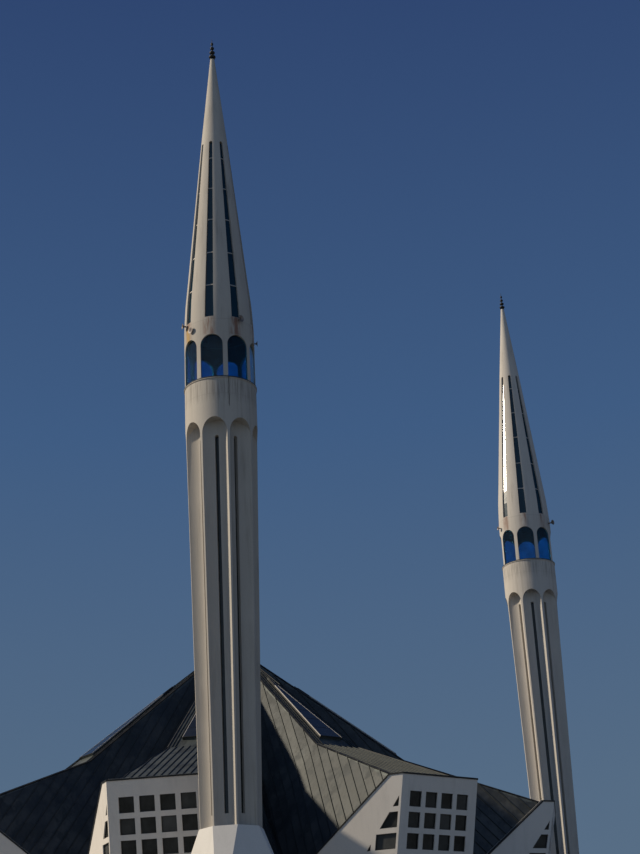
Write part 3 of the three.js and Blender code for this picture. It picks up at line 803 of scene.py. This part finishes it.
def build_skylight():
    """The pane, pale edges, dark bars and the painted shadow atop the edges, with the strip's own normal
    as their height.
    """
    outline, pale, dark = [], [], []
    lift = strip_normal * (CURB_HEIGHT + GLASS_LIFT)
    rim = strip_normal * (CURB_HEIGHT - PALE_DEPTH + RIM_LIFT)
    tip = on_strip(SKY_HEAD)
    corners = [on_strip(SKY_FOOT, side * SKY_HALF) for side in (-1, 1)]
    for side, corner in zip((-1, 1), corners):
        run = (corner - tip).normalized()
        aside = strip_normal.cross(run).normalized()
        aside = aside if aside.y * side > 0 else -aside
        edge = tip - aside * EDGE_INSET
        foot = corner - aside * EDGE_INSET + run * 0.01
        head, shadow_end = edge + run * TIP_GAP, edge.lerp(foot, PAINTED_SHADOW_TO)
        for bars, start, end, height in (
            (pale, shadow_end + rim, foot + rim, PALE_DEPTH),
            # The top stretch of each edge is dark metal: a painted shadow.
            (dark, head + rim, shadow_end + rim, PALE_DEPTH - 0.002),
            (dark, head, foot, CURB_HEIGHT - PALE_DEPTH + RIM_LIFT - 0.002),
        ):
            bars.append(bar(start, end, strip_normal, EDGE_WIDTH, height, 0.0))
        outline.append(corner - aside * GLASS_INSET - run * GLASS_INSET + lift)
    outline.append(on_strip(tip.x + TIP_GAP) + lift)
    pane = [[spot + strip_normal * high for spot in outline] for high in (0.0, GLASS_THICK)]
    dark.append(bar(corners[0] + lift, corners[1] + lift, strip_normal, 0.03, 0.014))
    for number in range(1, SKY_BARS):
        left, right = (tip.lerp(corner, number / SKY_BARS) + lift + strip_normal * GLASS_THICK
                       for corner in corners)
        inside = (right - left).normalized() * BAR_GAP
        dark.append(bar(left + inside, right - inside, strip_normal, 0.010, 0.004))
    return [pane], pale, dark


pane, pale, dark = build_skylight()
place_in_bays(
    (swept("skylight_glass", skylight_glass, pane), "window_glass", "skylight_pane"),
    (swept("skylight_edges", pale_metal, pale), "dark_metal"),
    (swept("skylight_bars", flashing_metal, dark), "dark_metal"),
)

# %% [markdown]
# ## Window walls
# The walls lean out as they rise, so a point on them is found from how far it lies back from
# the corner edge and down from the top. The top carries a dark metal cap with a pale lip, and
# each opening has a thin frame round its pane.

# %% Points on the walls
FRONT_R, FRONT_HALF, WALL_TOP, LEAN = 9.94, 1.30, 8.03, 0.226
SPLAY = radians(31.8)
SHOULDER, VALLEY_BACK, VALLEY_DROP = 0.385, 2.945, 2.455
LEAN_LENGTH = hypot(1, LEAN)
SIDE_RISE = hypot(1, LEAN * sin(SPLAY))

front_up = Vector((LEAN, 0, 1)) / LEAN_LENGTH
front_out = Vector((1, 0, -LEAN)) / LEAN_LENGTH


def side_axes(side):
    across = Vector((-side * cos(SPLAY), sin(SPLAY), 0))
    rise = Vector((sin(SPLAY), side * cos(SPLAY), 0)) * LEAN * sin(SPLAY)
    rise = (rise + Vector((0, 0, 1))) / SIDE_RISE
    return across, rise, across.cross(rise)


def wall_corner(side):
    return Vector((FRONT_R, side * FRONT_HALF, WALL_TOP))


def side_spot(side, back, drop):
    across, rise, out = side_axes(side)
    x = side * (back + drop * LEAN * cos(SPLAY))
    return wall_corner(side) + across * x - rise * drop * SIDE_RISE


# %% Caps along the wall tops
END_SHORT = 0.03
CAP = [(0.016, -0.026), (0.016, 0.014), (0.0, 0.018), (-0.088, 0.010), (-0.088, -0.02), (0.0, -0.022)]
CAP_LIP = [(-0.092, -0.02), (-0.092, 0.020), (-0.080, 0.020), (-0.080, -0.02)]


def edge_line():
    """Corners of the wall top, each with its way out and its way up."""
    line = []
    back = VALLEY_BACK - END_SHORT
    drop = (back - SHOULDER) * VALLEY_DROP / (VALLEY_BACK - SHOULDER)
    for side in (-1, 1):
        across, rise, out = side_axes(side)
        end, shoulder = side_spot(side, back, drop), side_spot(side, SHOULDER, 0)
        slope_up = out.cross((end - shoulder).normalized())
        slope_up = slope_up if slope_up.z > 0 else -slope_up
        shoulder_up = (rise + slope_up) / (1 + rise.dot(slope_up))
        corner_out = Vector((1, side * tan(pi / 4 - SPLAY / 2), -LEAN)) / LEAN_LENGTH
        half = [(end, out, slope_up), (shoulder, out, shoulder_up)]
        half.append((wall_corner(side), corner_out, front_up))
        line += half if side < 0 else half[::-1]
    return line


def sweep_edge(name, finish, section):
    rings = [[spot + out * o + rise * h for o, h in section] for spot, out, rise in edge_line()]
    return swept(name, finish, [rings])


# %% Window openings
PITCH, OPENING, FIRST_ROW, ROWS, COLUMNS = 0.539, 0.4015, 0.447, 7, 4
POST, SIDE_OPENING, SIDE_PITCH, SIDE_COLUMNS = 0.06, 0.565, 0.69, 3
BAND_START, BAND_SLOPE = 0.56, 0.603


def band_edge(drop):
    return POST + (drop - BAND_START) * BAND_SLOPE


def band_drop(back):
    return BAND_START + (back - POST) / BAND_SLOPE


def side_window(side, column, row):
    """Corners of a side opening, cut off by the solid band over it."""
    near = POST + column * SIDE_PITCH
    far = near + SIDE_OPENING
    top = (FIRST_ROW + row * PITCH) / LEAN_LENGTH
    bottom = top + OPENING / LEAN_LENGTH
    if band_edge(bottom) <= near:
        return []
    corners = [(near, bottom), (near, max(top, band_drop(near)))]
    if band_edge(top) > near:
        corners.append((min(far, band_edge(top)), top))
    if band_edge(top) < far < band_edge(bottom):
        corners.append((far, band_drop(far)))
    corners.append((min(far, band_edge(bottom)), bottom))
    return [side_spot(side, back, drop) for back, drop in corners]


def front_window(column, row):
    left = (column - (COLUMNS - 1) / 2) * PITCH - OPENING / 2
    top = FIRST_ROW + row * PITCH
    corners = ((0, 0), (OPENING, 0), (OPENING, OPENING), (0, OPENING))
    return [Vector((FRONT_R, left + x, WALL_TOP)) - front_up * (top + y) for x, y in corners]


def wall_openings():
    """Corners of every window opening of a bay, each with its way out."""
    found = []
    for row in range(ROWS):
        found += [(front_window(column, row), front_out) for column in range(COLUMNS)]
        for side in (-1, 1):
            out = side_axes(side)[2]
            found += [(side_window(side, column, row), out) for column in range(SIDE_COLUMNS)]
    return [(corners, out) for corners, out in found if corners]


# %% Window frames
FRAME_WIDTH, FRAME_FRONT, PANE_DEPTH, PANE_THICK = 0.018, 0.032, 0.055, 0.012


def add_frame(mesh, corners, out):
    """A thin ring just inside the edge of an opening, between two depths behind the face."""
    middle = sum(corners, Vector()) / len(corners)
    inner = []
    for before, corner, after in zip(corners[-1:] + corners, corners, corners[1:] + corners[:1]):
        before, after = (before - corner).normalized(), (after - corner).normalized()
        reach = FRAME_WIDTH / max(sin(before.angle(after) / 2), 0.35)
        inner.append(corner + (before + after).normalized() * min(reach, (middle - corner).length * 0.6))
    rows = [[mesh.verts.new(point - out * depth) for point in ring]
            for ring in (corners, inner) for depth in (FRAME_FRONT, PANE_DEPTH)]
    for one, two in ((0, 2), (2, 3), (3, 1), (1, 0)):
        join_rings(mesh, rows[one], rows[two])


def build_frames():
    mesh = bmesh.new()
    for corners, out in openings:
        add_frame(mesh, corners, out)
    print("frames in a bay:", len(openings))
    return finish_mesh(mesh, "window_frames", frame_metal)


openings = wall_openings()
place_in_bays((sweep_edge("wall_cap", flashing_metal, CAP), "dark_metal"),
              (sweep_edge("wall_cap_lip", pale_metal, CAP_LIP), "dark_metal"),
              (build_frames(), "dark_metal"))

# %% [markdown]
# ## Panes in the lattice
# Each opening has its own pane close behind the face of the wall. No two reflect alike, so a
# number is stored with every pane and the paint uses it to make some of them paler, with dust
# and painted reflection.

# %% Panes
def build_panes():
    mesh = bmesh.new()
    shade = mesh.faces.layers.float.new("pane_shade")
    depths = (PANE_DEPTH, PANE_DEPTH + PANE_THICK)
    for number, (corners, out) in enumerate(openings):
        for face in add_sweep(mesh, [[corner - out * depth for corner in corners] for depth in depths]):
            face[shade] = (number * 0.618) % 1.0
    return finish_mesh(mesh, "lattice_panes", window_panes)


place_in_bays((build_panes(), "window_glass", "bay_glass"))

# %% [markdown]
# ## Towers turned finely
# The solids of the towers have thirty-two flat faces, which would show. The shaft, gallery and
# spire are turned again with many more, from the same sizes, cut by flutes, slits, arches and
# slots, and take the place of the solids.

# %% Turning and cutting
SEGMENTS, CREASE = 128, 20  # faces round a tower, and degrees between them that look smooth
STEP = 2 * pi / 8
EIGHT = [turn_z(STEP * k) for k in range(8)]


def turned(profile, segments=SEGMENTS):
    """A closed profile of radius and height, turned round the z axis."""
    mesh = bmesh.new()
    angles = [2 * pi * (k + 0.5) / segments for k in range(segments)]
    rings = [[mesh.verts.new((radius * cos(a), radius * sin(a), height))
              for a in (angles if radius > 0 else [0.0])] for radius, height in profile]
    for low, high in zip(rings, rings[1:] + rings[:1]):
        for k in range(segments):
            n = (k + 1) % segments
            corners = (low[k % len(low)], low[n % len(low)], high[n % len(high)], high[k % len(high)])
            unique = list(dict.fromkeys(corners))
            if len(unique) > 2:
                mesh.faces.new(unique)
    return mesh


def prism(outline, start, end):
    mesh = bmesh.new()
    add_sweep(mesh, [[Vector((x, y, z)) for y, z in outline] for x in (start, end)])
    return mesh


def arch_outline(width, bottom, top, head, segments, head_width=None):
    """A foot and an arched head, as wide as the foot unless a width is given."""
    points = [(-width / 2, bottom), (width / 2, bottom)]
    for k in range(segments + 1):
        angle = pi * k / segments
        points.append(((head_width or width) / 2 * cos(angle), top - head + head * sin(angle)))
    return points


def carved(name, body, cutters, turns=EIGHT, operation="DIFFERENCE"):
    """The body cut by each cutter at each turn, as a plain mesh without materials."""
    host = new_object(name, finish_mesh(body, name, left_tower_concrete))
    tools = []
    for cutter in cutters:
        shape = finish_mesh(cutter, name + "_cutter", left_tower_concrete)
        for turn in turns:
            tool = new_object(name + "_cutter", shape)
            tool.matrix_world = turn
            tools.append(tool)
            cut = host.modifiers.new("cut", "BOOLEAN")
            cut.object, cut.operation, cut.solver = tool, operation, "EXACT"
    bpy.context.view_layer.update()
    result = bpy.data.meshes.new_from_object(host.evaluated_get(bpy.context.evaluated_depsgraph_get()))
    result.materials.clear()
    for helper in [host, *tools]:
        bpy.data.objects.remove(helper)
    return smooth_to(result, CREASE)


# %% Shaft
PEDESTAL_TOP, FLUTE_TOP = 6.325, 16.6
SHAFT_R, DRUM_R, BORE_R, RIB = 0.75, 0.945, 0.375, 0.07
SLIT_WIDTH, SLIT_BOTTOM, SLIT_TOP = 0.10, PEDESTAL_TOP + 0.3, 16.2
HOLLOW_STEPS, HOLLOW_REACH, HOLLOW_POWER, HOLLOW_DEPTH = 13, 1.5, 1.75, 0.68
SEAM_GAP = 0.0003


def build_flute():
    """What one flute takes away: a rounded hollow under an arched head."""
    across = [HOLLOW_REACH * k / HOLLOW_STEPS for k in range(-HOLLOW_STEPS, HOLLOW_STEPS + 1)]
    rings = []
    for z in (PEDESTAL_TOP - 0.5, FLUTE_TOP + 0.5):
        rib = SHAFT_R + (DRUM_R - SHAFT_R) * (z - PEDESTAL_TOP) / (FLUTE_TOP - PEDESTAL_TOP)
        half, deep = rib * sin(STEP / 2) - RIB * 0.4, rib * HOLLOW_DEPTH
        rise = rib * cos(STEP / 2) - deep
        rings.append([Vector((deep + rise * abs(t) ** HOLLOW_POWER, half * t, z)) for t in across])
    groove = bmesh.new()
    add_sweep(groove, rings)
    width = 2 * DRUM_R * sin(STEP / 2) - RIB
    head = prism(arch_outline(width, PEDESTAL_TOP - 0.4, FLUTE_TOP, width * 0.62, 32), 0.1, 2 * DRUM_R)
    flute = bmesh.new()
    flute.from_mesh(carved("flute", groove, [head], EIGHT[:1], "INTERSECT"))
    return flute


def build_shaft():
    bottom, top = PEDESTAL_TOP + SEAM_GAP, DRUM_TOP - SEAM_GAP
    body = turned([(BORE_R, bottom), (SHAFT_R, bottom), (DRUM_R, FLUTE_TOP), (DRUM_R, top), (BORE_R, top)])
    outline = arch_outline(SLIT_WIDTH, SLIT_BOTTOM, SLIT_TOP, SLIT_WIDTH / 2, 12)
    return carved("shaft", body, [prism(outline, BORE_R / 2, 2 * DRUM_R), build_flute()])


# %% Gallery and spire
GALLERY_TOP, GALLERY_OUT, GALLERY_WALL, LEDGE = 19.35, 0.94, 0.075, 0.025
ARCH_WIDTH, SPIRE_SHELL = 0.6, 0.1
SPIRE_LINE = [(0.935, 19.35), (0.926, 19.58), (0.910, 19.86), (0.893, 20.14), (0.862, 20.45),
              (0.811, 20.93), (0.742, 21.63), (0.3585, 25.46), (0.06, 28.2497)]
SLOT_TOP, SLOT_LOW_WIDTH, SLOT_HIGH_WIDTH = 25.25, 0.245, 0.095


def build_gallery():
    bottom, top, inner = DRUM_TOP, GALLERY_TOP - SEAM_GAP, GALLERY_OUT - GALLERY_WALL
    rim, rim_top = GALLERY_OUT + LEDGE, bottom + LEDGE
    body = turned([(inner, bottom), (rim - 0.006, bottom), (rim, bottom + 0.006), (rim, rim_top - 0.004),
                   (rim - 0.004, rim_top), (GALLERY_OUT, rim_top), (SPIRE_LINE[0][0], top), (inner, top)])
    arch = prism(arch_outline(ARCH_WIDTH, rim_top, ARCH_TOP, ARCH_WIDTH / 2, 32), DRUM_R / 2, 2 * DRUM_R)
    return carved("gallery", body, [arch])


def build_spire():
    inside = [(radius - SPIRE_SHELL, height) for radius, height in SPIRE_LINE[:-1]]
    body = turned(SPIRE_LINE + [(0, SPIRE_LINE[-1][1]), (0, inside[-1][1])] + inside[::-1])
    outline = arch_outline(SLOT_LOW_WIDTH, SLOT_BOTTOM, SLOT_TOP, SLOT_HIGH_WIDTH / 2, 12, SLOT_HIGH_WIDTH)
    return carved("spire", body, [prism(outline, 0.15, 2 * DRUM_R)])


# %% Glass of the towers
PANE_LAP, PANE_FOOT, SLOT_PANE_DEPTH = 0.001, 17.7055, 0.06
GALLERY_PANE = (0.860, 0.872)  # inner and outer face
BAR_HEIGHTS = [20.48, 21.52, 22.60, 23.64, 24.68]
ASKEW_SLOT, ASKEW_LOW, ASKEW_HIGH = 4, -0.07, -0.10


def slot_half(z):
    up_slot = (z - SLOT_BOTTOM) / (SLOT_TOP - SLOT_BOTTOM)
    return 0.5 * (SLOT_LOW_WIDTH + (SLOT_HIGH_WIDTH - SLOT_LOW_WIDTH) * up_slot)


def spire_radius(z):
    for (low_r, low_z), (high_r, high_z) in zip(SPIRE_LINE, SPIRE_LINE[1:]):
        if low_z <= z <= high_z:
            return low_r + (high_r - low_r) * (z - low_z) / (high_z - low_z)
    return SPIRE_LINE[0][0]


def turn_rings(turn, rings):
    return [[turn @ point for point in ring] for ring in rings]


def thin_ring(depth, half, z, thick, lean=0.0):
    return [Vector((depth + lean * side * half + back, side * half, z))
            for side, back in ((-1, 0), (1, 0), (1, thick), (-1, thick))]


def build_gallery_panes():
    half, crown = ARCH_WIDTH / 2 + PANE_LAP, ARCH_TOP + PANE_LAP
    outline = arch_outline(2 * half, PANE_FOOT, crown, half, 24)
    rings = [[Vector((x, y, z)) for y, z in outline] for x in GALLERY_PANE]
    return swept("gallery_panes", blue_panes, [turn_rings(turn, rings) for turn in EIGHT])


def build_slot_panes():
    """Flat panes between the bars. All lean a little, and those of one slot sit askew."""
    panes = []
    levels = [SLOT_BOTTOM + 0.002, 20.03] + BAR_HEIGHTS + [SLOT_TOP - 0.03]
    for number, turn in enumerate(EIGHT):
        for row, ends in enumerate(zip(levels, levels[1:])):
            lean = 0.012 * sin(7.0 * number + 3.1 * row)
            if number == ASKEW_SLOT:
                lean = ASKEW_LOW if row < 2 else ASKEW_HIGH
            rings = []
            for z in ends:
                depth, half = spire_radius(z) - SLOT_PANE_DEPTH, slot_half(z) + PANE_LAP
                rings.append(thin_ring(depth, half, z, -PANE_THICK, lean))
            panes.append(turn_rings(turn, rings))
    return swept("slot_panes", spire_panes, panes)


# %% [markdown]
# ## Trim of the towers
# A dark sill runs round the foot of the arches, thin pale bars divide the glass of the slots,
# and dark strips of glass close the slit windows; their dark colour also paints the shade of the
# bore behind. The finials are strings of dark beads, and the loudspeakers are flared horns with
# a rolled rim.

# %% Sill, bars and slit panes
SILL = [(0.925, PANE_FOOT), (0.962, PANE_FOOT), (0.966, 17.728), (0.945, 17.742), (0.925, 17.742)]
SLIT_PANE_HALF, SLIT_PANE_THICK, SLIT_PANE_FOOT, SLIT_PANE_HEAD = 0.0502, 0.01, 0.44, 0.52
GALLERY_ROOM, SPIRE_ROOM = 0.062, 0.080  # behind the outer face


def build_slot_bars():
    bars, out = [], Vector((1, 0, 0.1)).normalized()
    for z in BAR_HEIGHTS:
        depth, half = spire_radius(z) - SLOT_PANE_DEPTH, slot_half(z)
        bars.append(bar(Vector((depth, -half, z)), Vector((depth, half, z)), out, 0.03, 0.012))
    return swept("slot_bars", pale_metal, [turn_rings(turn, rings) for turn in EIGHT for rings in bars])


# Opaque dark glass: it also stands in as painted shade for the bore behind the slits.
def build_slit_panes():
    rings = [thin_ring(radius, SLIT_PANE_HALF, z, SLIT_PANE_THICK)
             for radius, z in ((SLIT_PANE_FOOT, SLIT_BOTTOM + 0.01), (SLIT_PANE_HEAD, SLIT_TOP - 0.01))]
    return swept("slit_panes", window_panes, [turn_rings(turn, rings) for turn in EIGHT])


def paint_shade_inside(data):
    """Very dark concrete on the faces that look into the gallery and the spire: painted shade."""
    data.materials.append(room_concrete)
    for face in data.polygons:
        reach, z = hypot(face.center.x, face.center.y), face.center.z
        if z > DRUM_TOP and reach < spire_radius(z) - (SPIRE_ROOM if z > GALLERY_TOP else GALLERY_ROOM):
            face.material_index = 1


# %% Finials and loudspeakers
HALF = 0.5  # model metres for one metre of the real building
BEADS, BEAD_HALF, ROD = 4, 0.07, 0.28
HORN_STEPS, GALLERY_FOOT = 32, 0.936
HORNS = {  # steps round the tower, height, length, depth for its length, degrees aside
    "left": [(-5, 38.9, 0.36, 0.65, -10), (-3.45, 38.42, 0.40, 0.28, 0),
             (4, 38.84, 0.40, 0.6, 10), (9, 38.15, 0.34, 0.5, 0)],
    "right": [(14, 38.3, 0.32, 0.75, 0), (-6, 38.34, 0.40, 1.1, -10)],
}


def finial_mesh(name, bottom, height, radius):
    """Four round beads, each smaller than the last, on a rod that ends in a point."""
    profile = [(0, bottom), (radius * 0.7, bottom), (radius * 0.7, bottom + height * 0.015),
               (radius * 0.3, bottom + height * 0.03)]
    for bead in range(BEADS):
        wide = radius * (1 - bead / 5)
        middle = bottom + height * (0.04 + 0.2 * bead + 0.075)
        for k in range(13):
            angle = -pi / 2 + pi * k / 12
            thick = max(wide * cos(angle), wide * ROD)
            profile.append((thick, middle + height * BEAD_HALF * sin(angle)))
    profile += [(radius * 0.09, bottom + height * 0.84), (0, bottom + height)]
    return finish_mesh(turned(profile, 32), name, flashing_metal, 40)


def horn_mesh(length, reach):
    """A horn that points along +x from its foot: arm, driver, flared bell and hollow mouth."""
    line = [(0, 0), (0.05, 0), (0.05, 0.12), (0.12, 0.13), (0.125, 0.15), (0.125, 0.34)]
    line += [(0.10, 0.36), (0.10, 0.42)]
    line += [(0.10 + 0.34 * (k / 10) ** 2.2, 0.42 + 0.5 * k / 10) for k in range(1, 11)]
    line += [(0.455, 0.93), (0.46, 0.955), (0.455, 0.985), (0.44, 1.0), (0.425, 0.985)]
    line += [(0.42 - 0.33 * (k / 8) ** 0.6, 0.965 - 0.4 * k / 8) for k in range(1, 9)]
    line += [(0.06, 0.6), (0.055, 0.72), (0.03, 0.76), (0, 0.77)]
    mesh = turned([(r * length, z * length * reach) for r, z in line], 32)
    bmesh.ops.rotate(mesh, verts=mesh.verts, matrix=Matrix.Rotation(pi / 2, 3, "Y"))
    return finish_mesh(mesh, "loudspeaker", horn_metal, 35)


# %% Place the towers
TOWER_REACH, TOWER_BEARING = 11.94, radians(56.5)
GALLERY_TWIST, SPIRE_TWIST = -2.0, -4.5  # degrees, on the left tower, against its flutes
TOWER_PIECES = [
    ("shaft", build_shaft(), "cast_concrete", 0),
    ("gallery", build_gallery(), "cast_concrete", GALLERY_TWIST),
    ("spire", build_spire(), "cast_concrete", SPIRE_TWIST),
    ("gallery_glass", build_gallery_panes(), "gallery_glass", GALLERY_TWIST),
    ("spire_glass", build_slot_panes(), "gallery_glass", SPIRE_TWIST),
    ("finial", finial_mesh("minaret_finial", 28.25, 0.75, 0.10), "dark_metal", 0),
    ("sill", finish_mesh(turned(SILL), "gallery_sill", flashing_metal, 30), "dark_metal", 0),
    ("slot_bars", build_slot_bars(), "dark_metal", SPIRE_TWIST),
    ("slit_panes", build_slit_panes(), "window_glass", 0),
]

for hand, side, concrete_finish in (("left", -1, left_tower_concrete), ("right", 1, right_tower_concrete)):
    bearing = side * TOWER_BEARING
    spot = Vector((TOWER_REACH * sin(bearing), -TOWER_REACH * cos(bearing), 0))
    place = Matrix.Translation(spot) @ turn_z(side * 3 * STEP / 2 - pi / 2)
    tower = f"minaret_{hand}"
    for part, data, slot, twist in TOWER_PIECES:
        data = data.copy()
        if side < 0:
            data.transform(turn_z(radians(twist)))
        if slot == "cast_concrete":
            data.materials.append(concrete_finish)
        if part in ("gallery", "spire"):
            paint_shade_inside(data)
        name = f"{tower}_{part}"
        replaced = name if name in nodes else None
        place_piece(name + ("_fine" if replaced else ""), data, slot, place, replaced)
    for number, (steps, height, length, reach, aim) in enumerate(HORNS[hand], 1):
        z = height * HALF
        foot = Matrix.Translation((spire_radius(z) if z > GALLERY_TOP else GALLERY_FOOT, 0, z))
        stand = place @ turn_z(steps * 2 * pi / HORN_STEPS) @ foot @ turn_z(radians(aim))
        place_piece(f"{tower}_horn_{number}", horn_mesh(length * HALF, reach), "horn_paint",
                    stand, f"{tower}_loudspeaker_{number}")
roof_finial = finial_mesh("roof_finial_fine", 13.9603, 1.3, 0.175)
place_piece("roof_finial_fine", roof_finial, "dark_metal", replaced="roof_finial")
